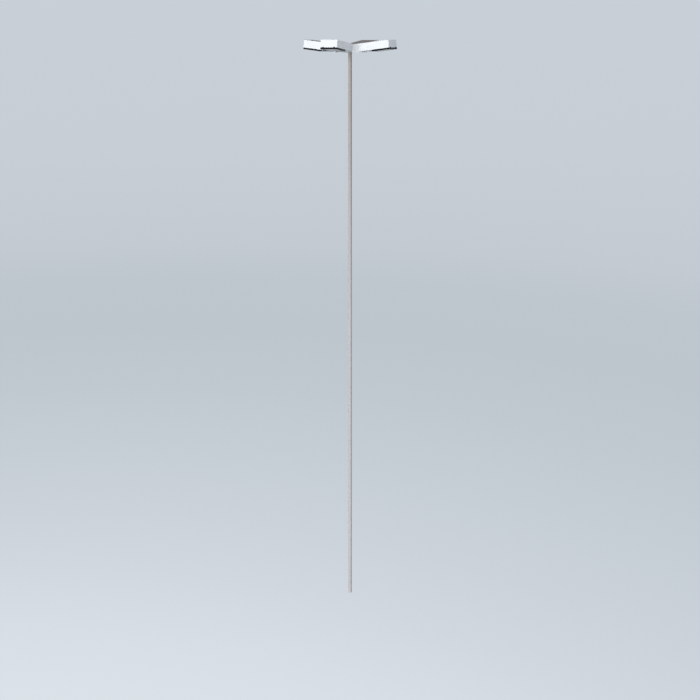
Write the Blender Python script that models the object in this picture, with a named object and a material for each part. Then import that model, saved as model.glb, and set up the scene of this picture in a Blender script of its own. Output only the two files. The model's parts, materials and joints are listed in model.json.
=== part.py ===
"""A parking-area light: a slender square pole with four shoebox luminaires in a cross at its top.

Metres, +Z up. The origin is the centre of the pole's foot. The luminaires point along +X, +Y, -X and -Y.
Each one is drawn in its own head frame: x runs out from the pole's axis along the tilted head, y is across
it, z is square to both, and z = 0 is half way up the housing.
"""

import math

import bmesh
import bpy
from mathutils import Matrix, Vector

GAP = 0.0003  # between pieces that touch

# Pole
POLE_SIDE = 0.050
POLE_WALL = 0.003
POLE_HEIGHT = 9.144
POLE_CORNER = 0.004
HANDHOLE_HEIGHT = 0.500
HANDHOLE_SIZE = (0.030, 0.100)
HANDHOLE_COVER = (0.040, 0.160, 0.003)
SCREW_RAISE = 0.065
SCREW_RADIUS = 0.0025
SCREW_HEAD = 0.0055

# Wiring held inside the pole
FUSE_RADIUS = 0.012
FUSE_LENGTH = 0.110
CABLE_RADIUS = 0.006
CABLE_SWAY = 0.003
CABLE_POINTS = 28

# Head: lengths are measured from the pole's axis
HEADINGS = {"right": 0, "back": 90, "left": 180, "front": 270}
TILT = math.radians(6.8)
HEAD_AXIS_HEIGHT = 9.2045
HEAD_INNER = 0.172
HEAD_OUTER = 0.795
HEAD_WIDTH = 0.310
HEAD_HEIGHT = 0.128
HEAD_WALL = 0.003
HEAD_CORNER = 0.006
LAMP_START = 0.470
COVER_THICKNESS = 0.005
COVER_CORNER = 0.004
COVER_SUNK = 0.001
LEDGE = 0.008
LEDGE_THICKNESS = 0.004
KNUCKLE_ROOM_Y = 0.022
KNUCKLE_ROOM_Z = (-0.026, 0.034)
CABLE_HOLE_RADIUS = 0.010
CABLE_HOLE_Y = 0.060
CABLE_HOLE_Z = 0.010

# Lamp, its holder and its bowl
LAMP_Z = -0.010
HOLDER_RADIUS = 0.0215
HOLDER_LENGTH = 0.050
BASE_RADII = (0.0185, 0.0165)
BASE_END = 0.548
NECK_RADIUS = 0.0175
BULB = (0.560, 0.700)
BULB_RADIUS = 0.030
BULB_STEPS = 8
BOWL_HIGH_X = (0.548, 0.722)
BOWL_HIGH_Y = (-0.072, 0.072)
BOWL_TOP = 0.034
BOWL_THICKNESS = 0.0015
BOWL_FLANGE = 0.002
BOWL_HOLE_RADIUS = 0.0235

# Ballast, on the floor of the wiring bay
BALLAST_CORE_X = (0.262, 0.418)
BALLAST_CORE_Y = (-0.080, 0.030)
BALLAST_CORE_Z = (0.003, 0.072)
BALLAST_FOOT_REACH = 0.016
BALLAST_FOOT_INSET = 0.010
BALLAST_FOOT_THICKNESS = 0.004
WINDING_REACH = 0.012
WINDING_INSET = (0.025, 0.010)

# Lamp door and its hinge and latches
DOOR_DEPTH = 0.0282
DOOR_WALL = 0.004
DOOR_FLOOR = 0.006
DOOR_BORDER = 0.036
LENS_LIP = 0.0085
LIP_THICKNESS = 0.0015
LENS_THICKNESS = 0.005
GASKET_WIDTH = 0.010
GASKET_THICKNESS = 0.0078
HINGE_X = 0.4615
HINGE_DROP = 0.0095
HINGE_RADIUS = 0.008
HINGE_PIN_RADIUS = 0.003
HINGE_EAR = (0.106, 0.114)
HINGE_LUG = (0.0945, 0.1055)
LATCH_Y = 0.104
LATCH_STUD_RADIUS = 0.004
LATCH_PLATE = 0.004
LATCH_BLADE = ((-0.015, 0.015), (-0.0125, 0.0235), 0.005)
LATCH_GRIP = ((-0.003, 0.003), (-0.010, 0.018), 0.002)
LATCH_GRIP_RISE = 0.007

# Tilt knuckle
PIVOT_X = 0.195
PIVOT_RADIUS = 0.006
TONGUE_HALF_WIDTH = 0.018
TONGUE_HALF_HEIGHT = 0.020
YOKE_PLATE = 0.005
YOKE_HALF_HEIGHT = 0.030
YOKE_FLANGE_HALF = 0.046
BOLT_HEAD_RADIUS = 0.0104
BOLT_HEAD_LENGTH = 0.0075
NUT_LENGTH = 0.010
BOLT_TAIL = 0.014

# Hub and canopy at the pole's top
HUB_HALF = 0.030
HUB_BORE_HALF = 0.009
PLUG_LENGTH = 0.120
CANOPY_BOTTOM = 9.142
CANOPY_TOP = 9.279
CANOPY_HALF_BOTTOM = 0.1695
CANOPY_HALF_TOP = 0.1608
CANOPY_ARM_HALF = 0.1545
CANOPY_BOTTOM_SPREAD = 0.250
CANOPY_WALL = 0.003
CORNER_CLEARANCE = 0.0015  # from a head's side to the canopy's corner piece
CORNER_LEG = 0.078
CORNER_BOTTOM = 9.150
CORNER_POST = (0.150, 0.1605)
CAP_THICKNESS = 0.003
CAP_RISE = 0.005

HALF_WIDTH = HEAD_WIDTH / 2
HEAD_TOP = HEAD_HEIGHT / 2
HEAD_BOTTOM = -HEAD_HEIGHT / 2
HINGE_Z = HEAD_BOTTOM - HINGE_DROP
DOOR_TOP = HEAD_BOTTOM - GAP
DOOR_BOTTOM = DOOR_TOP - DOOR_DEPTH
LATCH_Z = (DOOR_TOP + DOOR_BOTTOM) / 2
LENS_BOTTOM = DOOR_BOTTOM + LIP_THICKNESS + GAP
GASKET_BOTTOM = LENS_BOTTOM + LENS_THICKNESS + GAP
REFLECTOR_BOTTOM = GASKET_BOTTOM + GASKET_THICKNESS + GAP
PIVOT_REACH = PIVOT_X * math.cos(TILT)
PIVOT_HEIGHT = HEAD_AXIS_HEIGHT + PIVOT_X * math.sin(TILT)
HANDHOLE_FACE = POLE_SIDE / 2
CUT = 0.010  # how far a cutter runs past the face that it opens


# Meshes

def mesh_from(bm):
    bmesh.ops.recalc_face_normals(bm, faces=bm.faces)
    mesh = bpy.data.meshes.new("shape")
    bm.to_mesh(mesh)
    bm.free()
    return mesh


def slab(x, y, z):
    """A box between the two values of each pair."""
    bm = bmesh.new()
    size = Matrix.Diagonal((x[1] - x[0], y[1] - y[0], z[1] - z[0], 1))
    centre = Matrix.Translation((sum(x) / 2, sum(y) / 2, sum(z) / 2))
    bmesh.ops.create_cube(bm, size=1, matrix=centre @ size)
    return mesh_from(bm)


def prism(outline, z):
    """A closed outline of (x, y) points, pulled straight up from z[0] to z[1]."""
    bm = bmesh.new()
    face = bm.faces.new([bm.verts.new((px, py, z[0])) for px, py in outline])
    pulled = bmesh.ops.extrude_face_region(bm, geom=[face])["geom"]
    verts = [v for v in pulled if isinstance(v, bmesh.types.BMVert)]
    bmesh.ops.translate(bm, verts=verts, vec=(0, 0, z[1] - z[0]))
    return mesh_from(bm)


def rounded(x, y, radius, segments=3):
    """A rectangle's outline with round corners."""
    outline = []
    corners = ((x[1], y[1]), (x[0], y[1]), (x[0], y[0]), (x[1], y[0]))
    for quarter, (cx, cy) in enumerate(corners):
        mx = cx - math.copysign(radius, cx - sum(x) / 2)
        my = cy - math.copysign(radius, cy - sum(y) / 2)
        for step in range(segments + 1):
            angle = math.pi / 2 * (quarter + step / segments)
            outline.append((mx + radius * math.cos(angle), my + radius * math.sin(angle)))
    return outline


def frustum(low, high, z):
    """A four-sided block whose bottom and top rectangles, each (x pair, y pair), differ."""
    bm = bmesh.new()
    rings = []
    for (x, y), height in ((low, z[0]), (high, z[1])):
        corners = ((x[0], y[0]), (x[1], y[0]), (x[1], y[1]), (x[0], y[1]))
        rings.append([bm.verts.new((px, py, height)) for px, py in corners])
    bm.faces.new(rings[0])
    bm.faces.new(rings[1])
    for i in range(4):
        j = (i + 1) % 4
        bm.faces.new((rings[0][i], rings[0][j], rings[1][j], rings[1][i]))
    return mesh_from(bm)


def turned(profile, sides=16):
    """A closed solid turned about the x axis, from (x, radius) points that start and end on the axis."""
    bm = bmesh.new()
    points = [bm.verts.new((px, radius, 0)) for px, radius in profile]
    edges = [bm.edges.new(pair) for pair in zip(points, points[1:])]
    bmesh.ops.spin(bm, geom=points + edges, cent=(0, 0, 0), axis=(1, 0, 0),
                   angle=2 * math.pi, steps=sides, use_merge=True)
    bmesh.ops.remove_doubles(bm, verts=bm.verts, dist=1e-6)
    return mesh_from(bm)


def tab(centre, radius, root, y):
    """A flat tab across y, round about its centre (x, z), that runs straight from there to its root."""
    away = math.atan2(-root[1], -root[0])
    outline = []
    steps = 12
    for step in range(steps + 1):
        angle = away + math.pi * (step / steps - 0.5)
        outline.append((centre[0] + radius * math.cos(angle), centre[1] + radius * math.sin(angle)))
    first, last = outline[0], outline[-1]
    outline += [(end[0] + root[0], end[1] + root[1]) for end in (last, first)]
    mesh = prism(outline, (-max(y), -min(y)))
    mesh.transform(Matrix.Rotation(math.pi / 2, 4, "X"))
    return mesh


def rod(radius, x, sides=16):
    """A round bar along the x axis."""
    return turned([(x[0], 0), (x[0], radius), (x[1], radius), (x[1], 0)], sides)


def moved(mesh, place=(0, 0, 0), along="x"):
    """The mesh with its x axis turned along the named axis, and then moved to its place."""
    turns = {
        "x": Matrix.Identity(4),
        "y": Matrix.Rotation(math.pi / 2, 4, "Z"),
        "z": Matrix.Rotation(-math.pi / 2, 4, "Y"),
    }
    mesh.transform(Matrix.Translation(place) @ turns[along])
    return mesh


def shaped(base, joins=(), cuts=(), keeps=()):
    """The base with each join added to it, each cut taken from it, and all outside each keep taken off."""
    body = bpy.data.objects.new("body", base)
    bpy.context.scene.collection.objects.link(body)
    helpers = [body]
    for operation, meshes in (("UNION", joins), ("DIFFERENCE", cuts), ("INTERSECT", keeps)):
        for mesh in meshes:
            tool = bpy.data.objects.new("tool", mesh)
            bpy.context.scene.collection.objects.link(tool)
            helpers.append(tool)
            modifier = body.modifiers.new(operation, "BOOLEAN")
            modifier.operation = operation
            modifier.solver = "EXACT"
            modifier.object = tool
    graph = bpy.context.evaluated_depsgraph_get()
    result = bpy.data.meshes.new_from_object(body.evaluated_get(graph))
    for helper in helpers:
        bpy.data.objects.remove(helper)
    return result


# Objects

def material(name, colour, roughness, metallic=0.0, transmission=0.0):
    made = bpy.data.materials.new(name)
    made.use_nodes = True
    shader = made.node_tree.nodes["Principled BSDF"]
    shader.inputs["Base Color"].default_value = (*colour, 1)
    shader.inputs["Roughness"].default_value = roughness
    shader.inputs["Metallic"].default_value = metallic
    shader.inputs["Transmission Weight"].default_value = transmission
    made.diffuse_color = (*colour, 1)
    return made


def piece(name, mesh, look, parent=None, place=(0, 0, 0)):
    mesh.name = name
    mesh.materials.clear()
    mesh.materials.append(look)
    mesh.shade_smooth()
    mesh.set_sharp_from_angle(angle=math.radians(35))
    made = bpy.data.objects.new(name, mesh)
    bpy.context.scene.collection.objects.link(made)
    made.parent = parent
    made.location = place
    return made


def empty(name, place, parent=None, rotation=(0, 0, 0)):
    made = bpy.data.objects.new(name, None)
    bpy.context.scene.collection.objects.link(made)
    made.empty_display_size = 0.05
    made.parent = parent
    made.location = place
    made.rotation_euler = rotation
    return made


# Pole

def pole_shaft():
    half = POLE_SIDE / 2
    inner = half - POLE_WALL
    tall = (-CUT, POLE_HEIGHT + CUT)
    outside = prism(rounded((-half, half), (-half, half), POLE_CORNER), (0, POLE_HEIGHT))
    bore = slab((-inner, inner), (-inner, inner), tall)
    width, height = HANDHOLE_SIZE
    window = slab((-width / 2, width / 2), (0, half + CUT),
                  (HANDHOLE_HEIGHT - height / 2, HANDHOLE_HEIGHT + height / 2))
    return shaped(outside, cuts=[bore, window, screw_hole()])


def screw_hole():
    """The cutter for the screw that holds the handhole's cover."""
    along = (0, HANDHOLE_FACE + CUT)
    return moved(rod(SCREW_RADIUS + GAP, along, 12), (0, 0, HANDHOLE_HEIGHT + SCREW_RAISE), "y")


def handhole_cover():
    width, height, thickness = HANDHOLE_COVER
    outline = rounded((-width / 2, width / 2), (-height / 2, height / 2), 0.008)
    plate = prism(outline, (0, thickness))
    plate.transform(Matrix.Rotation(math.pi / 2, 4, "X"))
    plate.transform(Matrix.Translation((0, HANDHOLE_FACE + GAP + thickness, HANDHOLE_HEIGHT)))
    return shaped(plate, cuts=[screw_hole()])


def handhole_screw():
    seat = HANDHOLE_FACE + HANDHOLE_COVER[2] + 2 * GAP
    tip = HANDHOLE_FACE - POLE_WALL - 0.004
    profile = [(tip, 0), (tip, SCREW_RADIUS), (seat, SCREW_RADIUS), (seat, SCREW_HEAD),
               (seat + 0.0015, SCREW_HEAD), (seat + 0.003, SCREW_HEAD * 0.6), (seat + 0.003, 0)]
    return moved(turned(profile, 12), (0, 0, HANDHOLE_HEIGHT + SCREW_RAISE), "y")


def fuse_holder():
    """An in-line fuse holder that hangs on the cable behind the handhole."""
    low = HANDHOLE_HEIGHT - FUSE_LENGTH / 2
    high = HANDHOLE_HEIGHT + FUSE_LENGTH / 2
    middle = HANDHOLE_HEIGHT
    profile = [(low, 0), (low, 0.007), (low + 0.020, FUSE_RADIUS), (middle - 0.003, FUSE_RADIUS),
               (middle - 0.003, FUSE_RADIUS + 0.002), (middle + 0.003, FUSE_RADIUS + 0.002),
               (middle + 0.003, FUSE_RADIUS), (high - 0.020, FUSE_RADIUS), (high, 0.007), (high, 0)]
    return moved(turned(profile), along="z")


def riser_cable(look):
    """The supply cable, held inside the pole from the fuse holder to the hub."""
    start = HANDHOLE_HEIGHT + FUSE_LENGTH / 2 + GAP
    end = POLE_HEIGHT + 0.060
    curve = bpy.data.curves.new("riser_cable", "CURVE")
    curve.dimensions = "3D"
    curve.bevel_depth = CABLE_RADIUS
    curve.bevel_resolution = 2
    curve.use_fill_caps = True
    spline = curve.splines.new("POLY")
    spline.points.add(CABLE_POINTS - 1)
    for i, point in enumerate(spline.points):
        along = i / (CABLE_POINTS - 1)
        sway = CABLE_SWAY * math.sin(math.pi * along)
        turn = 3 * math.pi * along
        point.co = (sway * math.sin(turn), sway * math.cos(turn), start + (end - start) * along, 1)
    curve.materials.append(look)
    made = bpy.data.objects.new("riser_cable", curve)
    bpy.context.scene.collection.objects.link(made)


# Hub

def tongue(heading):
    """A hub arm's flat tongue, out to the pivot that a head tilts on."""
    width = (-TONGUE_HALF_WIDTH, TONGUE_HALF_WIDTH)
    arm = tab((PIVOT_REACH, PIVOT_HEIGHT), TONGUE_HALF_HEIGHT, (HUB_HALF - 0.002 - PIVOT_REACH, 0), width)
    across = (-TONGUE_HALF_WIDTH - CUT, TONGUE_HALF_WIDTH + CUT)
    bolt_hole = moved(rod(PIVOT_RADIUS + GAP, across), (PIVOT_REACH, 0, PIVOT_HEIGHT), "y")
    made = shaped(arm, cuts=[bolt_hole])
    made.transform(Matrix.Rotation(math.radians(heading), 4, "Z"))
    return made


def hub_casting():
    """A block with a plug that drops into the pole's top, and four tongues."""
    seat = POLE_HEIGHT + GAP
    plug_half = POLE_SIDE / 2 - POLE_WALL - GAP
    block_top = PIVOT_HEIGHT + TONGUE_HALF_HEIGHT + 0.004
    block = slab((-HUB_HALF, HUB_HALF), (-HUB_HALF, HUB_HALF), (seat, block_top))
    plug = slab((-plug_half, plug_half), (-plug_half, plug_half), (POLE_HEIGHT - PLUG_LENGTH, seat + 0.005))
    bore = slab((-HUB_BORE_HALF, HUB_BORE_HALF), (-HUB_BORE_HALF, HUB_BORE_HALF),
                (POLE_HEIGHT - PLUG_LENGTH - CUT, CANOPY_TOP))
    arms = [tongue(heading) for heading in HEADINGS.values()]
    return shaped(block, joins=[plug, *arms], cuts=[bore])


QUARTER_TURNS = ((1, 0), (0, 1), (-1, 0), (0, -1))  # each as its cosine and sine


def square(half):
    return (-half, half), (-half, half)


def cross(reach, half):
    """The outline of a cross whose arms end at reach from its middle and are half wide to each side."""
    corner = ((reach, half), (half, half), (half, reach))
    return [(c * x - s * y, s * x + c * y) for c, s in QUARTER_TURNS for x, y in corner]


def corners(z):
    """Four wedges between neighbouring heads, each with a post that joins it to the canopy's corner."""
    near = HALF_WIDTH + CORNER_CLEARANCE
    far = near + CORNER_LEG
    root, post = CORNER_POST
    outline = ((root, root), (post, root), (post, near), (far, near), (near, far), (near, post), (root, post))
    return [prism([(c * x - s * y, s * x + c * y) for x, y in outline], z) for c, s in QUARTER_TURNS]


def corner_rooms(z):
    """The hollow of each wedge."""
    near = HALF_WIDTH + CORNER_CLEARANCE + CANOPY_WALL
    far = near + CORNER_LEG - CANOPY_WALL * (2 + math.sqrt(2))
    outline = ((near, near), (far, near), (near, far))
    return [prism([(c * x - s * y, s * x + c * y) for x, y in outline], z) for c, s in QUARTER_TURNS]


def canopy_block(inset, top):
    """The canopy's shape, or its inside at an inset: arms with leaning ends over a pitched underside."""
    lean = (CANOPY_HALF_TOP - CANOPY_HALF_BOTTOM) / (CANOPY_TOP - CANOPY_BOTTOM)
    half = CANOPY_ARM_HALF - inset
    low = CANOPY_BOTTOM + inset / math.cos(TILT)
    reach_low = CANOPY_HALF_BOTTOM - inset
    reach_high = reach_low + lean * (top - CANOPY_BOTTOM)
    along_x = frustum(((-reach_low, reach_low), (-half, half)), ((-reach_high, reach_high), (-half, half)),
                      (CANOPY_BOTTOM - CUT, top))
    along_y = frustum(((-half, half), (-reach_low, reach_low)), ((-half, half), (-reach_high, reach_high)),
                      (CANOPY_BOTTOM - CUT, top))
    rise = CANOPY_BOTTOM_SPREAD * math.tan(TILT)
    pitched = frustum(square(0.001), square(CANOPY_BOTTOM_SPREAD), (low, low + rise))
    above = slab(*square(CANOPY_BOTTOM_SPREAD), (low + rise - 0.0001, top + CUT))
    return shaped(along_x, joins=[along_y], keeps=[shaped(pitched, joins=[above])])


def canopy():
    """The sheet-metal box that closes the middle of the cross, with a wedge in each of its four corners."""
    hub_hole = slab(*square(HUB_HALF + 0.0005), (CANOPY_BOTTOM - CUT, PIVOT_HEIGHT))
    width = TONGUE_HALF_WIDTH + 0.0015
    height = (PIVOT_HEIGHT - TONGUE_HALF_HEIGHT - 0.0015, PIVOT_HEIGHT + TONGUE_HALF_HEIGHT + 0.0015)
    reach = (-CANOPY_HALF_BOTTOM - CUT, CANOPY_HALF_BOTTOM + CUT)
    windows = [slab(reach, (-width, width), height), slab((-width, width), reach, height)]
    inside = canopy_block(CANOPY_WALL, CANOPY_TOP + CUT)
    rooms = corner_rooms((CORNER_BOTTOM + CANOPY_WALL, CANOPY_TOP + CUT))
    return shaped(canopy_block(0, CANOPY_TOP), joins=corners((CORNER_BOTTOM, CANOPY_TOP)),
                  cuts=[inside, hub_hole, *windows, *rooms])


def canopy_cap():
    """A lid pitched a little to its middle, with a lip that drops inside the canopy."""
    low = CANOPY_TOP + GAP
    top = low + CAP_THICKNESS
    plate = prism(cross(CANOPY_HALF_TOP, CANOPY_ARM_HALF), (low, top))
    pitch = frustum(square(CANOPY_ARM_HALF - 0.002), square(0.020), (top - 0.0005, top + CAP_RISE))
    clear = CANOPY_WALL + 0.001
    thick = clear + 0.003
    lip = prism(cross(CANOPY_HALF_TOP - clear, CANOPY_ARM_HALF - clear), (low - 0.008, low + 0.001))
    lip_room = prism(cross(CANOPY_HALF_TOP - thick, CANOPY_ARM_HALF - thick), (low - 0.008 - CUT, low))
    return shaped(plate, joins=[pitch, shaped(lip, cuts=[lip_room]), *corners((low, top))])


# Head

def housing():
    """The head's body: a wiring bay with a floor, and a lamp bay that is open below."""
    side = (-HALF_WIDTH, HALF_WIDTH)
    within = (-HALF_WIDTH + HEAD_WALL, HALF_WIDTH - HEAD_WALL)
    ledge_top = HEAD_TOP - COVER_SUNK - COVER_THICKNESS - GAP
    ledge_low = ledge_top - LEDGE_THICKNESS
    on_ledge = (within[0] + LEDGE, within[1] - LEDGE)
    outside = prism(rounded((HEAD_INNER, HEAD_OUTER), side, HEAD_CORNER), (HEAD_BOTTOM, HEAD_TOP))
    bays = []
    spans = (((HEAD_INNER + HEAD_WALL, LAMP_START - HEAD_WALL), HEAD_BOTTOM + HEAD_WALL),
             ((LAMP_START, HEAD_OUTER - HEAD_WALL), HEAD_BOTTOM - CUT))
    for span, low in spans:
        bays.append(slab(span, within, (low, ledge_low)))
        within_ledge = (span[0] + LEDGE, span[1] - LEDGE)
        bays.append(slab(within_ledge, on_ledge, (ledge_low - 0.001, ledge_top + 0.001)))
    lid_room = slab((HEAD_INNER + HEAD_WALL, HEAD_OUTER - HEAD_WALL), within, (ledge_top, HEAD_TOP + CUT))
    knuckle_width = (-KNUCKLE_ROOM_Y, KNUCKLE_ROOM_Y)
    knuckle_room = slab((HEAD_INNER - CUT, HEAD_INNER + CUT), knuckle_width, KNUCKLE_ROOM_Z)
    cable_hole = moved(rod(CABLE_HOLE_RADIUS, (LAMP_START - CUT, LAMP_START + CUT), 12),
                       (0, CABLE_HOLE_Y, CABLE_HOLE_Z))
    rise = (0, HINGE_DROP + 0.001)
    ears = [tab((HINGE_X, HINGE_Z), HINGE_RADIUS, rise, [sign * y for y in HINGE_EAR]) for sign in (1, -1)]
    cuts = [*bays, lid_room, knuckle_room, cable_hole, *pin_holes(HINGE_EAR)]
    return shaped(outside, joins=ears, cuts=cuts)


def pin_holes(span):
    """Cutters for the hinge pin through both ears or both lugs."""
    across = (min(span) - 0.002, max(span) + 0.002)
    holes = []
    for sign in (1, -1):
        ends = sorted(sign * y for y in across)
        holes.append(moved(rod(HINGE_PIN_RADIUS + GAP, ends, 12), (HINGE_X, 0, HINGE_Z), "y"))
    return holes


def hinge_pin():
    reach = HINGE_EAR[1] + 0.003
    return moved(rod(HINGE_PIN_RADIUS, (-reach, reach), 12), (HINGE_X, 0, HINGE_Z), "y")


def top_cover():
    """The dark plate that closes the housing from above, let in flush between its walls."""
    clear = HEAD_WALL + 0.001
    length = (HEAD_INNER + clear, HEAD_OUTER - clear)
    outline = rounded(length, (-HALF_WIDTH + clear, HALF_WIDTH - clear), COVER_CORNER)
    high = HEAD_TOP - COVER_SUNK
    return prism(outline, (high - COVER_THICKNESS, high))


def door_frame():
    side = (-HALF_WIDTH, HALF_WIDTH)
    border = DOOR_BORDER
    outside = prism(rounded((LAMP_START, HEAD_OUTER), side, HEAD_CORNER), (DOOR_BOTTOM, DOOR_TOP))
    channel_x = (LAMP_START + DOOR_WALL, HEAD_OUTER - DOOR_WALL)
    channel_y = (side[0] + DOOR_WALL, side[1] - DOOR_WALL)
    channel = slab(channel_x, channel_y, (DOOR_BOTTOM + DOOR_FLOOR, DOOR_TOP + CUT))
    seat = border - LENS_LIP
    lens_seat = slab((LAMP_START + seat, HEAD_OUTER - seat), (side[0] + seat, side[1] - seat),
                     (DOOR_BOTTOM + LIP_THICKNESS, DOOR_TOP + CUT))
    aperture = slab((LAMP_START + border, HEAD_OUTER - border), (side[0] + border, side[1] - border),
                    (DOOR_BOTTOM - CUT, DOOR_TOP))
    reach = (LAMP_START + 0.002 - HINGE_X, 0)
    lugs = [tab((HINGE_X, HINGE_Z), HINGE_RADIUS, reach, [sign * y for y in HINGE_LUG]) for sign in (1, -1)]
    studs = [moved(rod(LATCH_STUD_RADIUS + GAP, (HEAD_OUTER - 0.02, HEAD_OUTER + CUT)), (0, y, LATCH_Z))
             for y in (-LATCH_Y, LATCH_Y)]
    return shaped(outside, joins=lugs, cuts=[channel, lens_seat, aperture, *studs, *pin_holes(HINGE_LUG)])


def ring_in_door(inset, width, z):
    """A rectangular ring that lies in the door frame's lens seat."""
    x = (LAMP_START + inset, HEAD_OUTER - inset)
    y = (-HALF_WIDTH + inset, HALF_WIDTH - inset)
    hole = slab((x[0] + width, x[1] - width), (y[0] + width, y[1] - width), (z[0] - CUT, z[1] + CUT))
    return shaped(slab(x, y, z), cuts=[hole])


def lens():
    inset = DOOR_BORDER - LENS_LIP + 0.0005
    return slab((LAMP_START + inset, HEAD_OUTER - inset), (-HALF_WIDTH + inset, HALF_WIDTH - inset),
                (LENS_BOTTOM, LENS_BOTTOM + LENS_THICKNESS))


def lens_gasket():
    inset = DOOR_BORDER - LENS_LIP + 0.001
    return ring_in_door(inset, GASKET_WIDTH, (GASKET_BOTTOM, GASKET_BOTTOM + GASKET_THICKNESS))


def reflector():
    """A faceted bright bowl round the lamp, open below, that seals on the gasket."""
    rim = DOOR_BORDER - LENS_LIP + 0.003
    low = (LAMP_START + rim, HEAD_OUTER - rim), (-HALF_WIDTH + rim, HALF_WIDTH - rim)
    outside = frustum(low, (BOWL_HIGH_X, BOWL_HIGH_Y), (REFLECTOR_BOTTOM, BOWL_TOP))
    inner_low = [(pair[0] + BOWL_THICKNESS, pair[1] - BOWL_THICKNESS) for pair in low]
    inner_high = [(pair[0] + BOWL_THICKNESS, pair[1] - BOWL_THICKNESS) for pair in (BOWL_HIGH_X, BOWL_HIGH_Y)]
    inside = frustum(inner_low, inner_high, (REFLECTOR_BOTTOM - 0.0001, BOWL_TOP - BOWL_THICKNESS))
    flange_x, flange_y = [(pair[0] - BOWL_FLANGE, pair[1] + BOWL_FLANGE) for pair in low]
    flange = slab(flange_x, flange_y, (REFLECTOR_BOTTOM, REFLECTOR_BOTTOM + BOWL_THICKNESS))
    neck = moved(rod(BOWL_HOLE_RADIUS, (LAMP_START, BOWL_HIGH_X[0] + CUT), 24), (0, 0, LAMP_Z))
    return shaped(outside, joins=[flange], cuts=[inside, neck])


def lamp():
    """A discharge lamp lying along the head, with its porcelain holder against the bay's inner wall."""
    start = LAMP_START + GAP
    holder_end = start + HOLDER_LENGTH
    profile = [(start, 0), (start, HOLDER_RADIUS), (holder_end, HOLDER_RADIUS), (holder_end, BASE_RADII[0]),
               (BASE_END, BASE_RADII[1]), (BULB[0], NECK_RADIUS)]
    for i in range(1, BULB_STEPS):
        angle = math.pi * i / BULB_STEPS
        reach = BULB[0] + (BULB[1] - BULB[0]) * (1 - math.cos(angle)) / 2
        profile.append((reach, max(NECK_RADIUS * (1 - i / 4), BULB_RADIUS * math.sin(angle))))
    profile.append((BULB[1], 0))
    return moved(turned(profile), (0, 0, LAMP_Z))


def ballast():
    """The control gear on the wiring bay's floor: a laminated core between two end feet."""
    floor = HEAD_BOTTOM + HEAD_WALL + GAP
    x, y = BALLAST_CORE_X, BALLAST_CORE_Y
    reach, inset = BALLAST_FOOT_REACH, BALLAST_FOOT_INSET
    side, rise = WINDING_INSET
    core = slab(x, y, (floor + BALLAST_CORE_Z[0], floor + BALLAST_CORE_Z[1]))
    foot = slab((x[0] - reach, x[1] + reach), (y[0] + inset, y[1] - inset),
                (floor, floor + BALLAST_FOOT_THICKNESS))
    winding = slab((x[0] - WINDING_REACH, x[1] + WINDING_REACH), (y[0] + side, y[1] - side),
                   (floor + BALLAST_CORE_Z[0] + rise, floor + BALLAST_CORE_Z[1] - rise))
    return shaped(foot, joins=[core, winding])


def tilt_yoke():
    """The U bracket inside the housing's inner end, whose cheeks take the pivot bolt."""
    gap = TONGUE_HALF_WIDTH + 0.0005
    inner_face = HEAD_INNER + HEAD_WALL + GAP
    back = PIVOT_X + TONGUE_HALF_HEIGHT + 0.004
    tall = (-YOKE_HALF_HEIGHT, YOKE_HALF_HEIGHT)
    outer = gap + YOKE_PLATE
    cheeks = slab((inner_face, back + YOKE_PLATE), (-outer, outer), tall)
    flange = slab((inner_face, inner_face + YOKE_PLATE), (-YOKE_FLANGE_HALF, YOKE_FLANGE_HALF), tall)
    room = slab((inner_face - CUT, back), (-gap, gap), (tall[0] - CUT, tall[1] + CUT))
    bolt_hole = moved(rod(PIVOT_RADIUS + GAP, (-outer - CUT, outer + CUT)), (PIVOT_X, 0, 0), "y")
    return shaped(cheeks, joins=[flange], cuts=[room, bolt_hole])


def pivot_bolt():
    """A hexagon bolt through the yoke and the tongue, with its nut screwed home."""
    face = TONGUE_HALF_WIDTH + 0.0005 + YOKE_PLATE + GAP
    shank = rod(PIVOT_RADIUS, (-face - BOLT_HEAD_LENGTH / 2, face + BOLT_TAIL))
    hexagon = rod(BOLT_HEAD_RADIUS, (-face - BOLT_HEAD_LENGTH, -face), 6)
    nut = rod(BOLT_HEAD_RADIUS, (face, face + NUT_LENGTH), 6)
    return moved(shaped(shank, joins=[hexagon, nut]), (PIVOT_X, 0, 0), "y")


def latch(sign):
    """A quarter-turn latch in its own frame: x is its axis, and its blade stands up the housing's end."""
    blade = prism(rounded(*LATCH_BLADE), (GAP * 2, GAP * 2 + LATCH_PLATE))
    grip = prism(rounded(*LATCH_GRIP), (LATCH_PLATE, LATCH_PLATE + LATCH_GRIP_RISE))
    upright = Matrix(((0, 0, 1, 0), (sign, 0, 0, 0), (0, 1, 0, 0), (0, 0, 0, 1)))
    blade.transform(upright)
    grip.transform(upright)
    for mesh in (blade, grip):
        if sign < 0:
            mesh.flip_normals()
    stud = rod(LATCH_STUD_RADIUS, (-DOOR_WALL - 0.004, LATCH_PLATE / 2))
    return shaped(blade, joins=[grip, stud])


# Assembly

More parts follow.
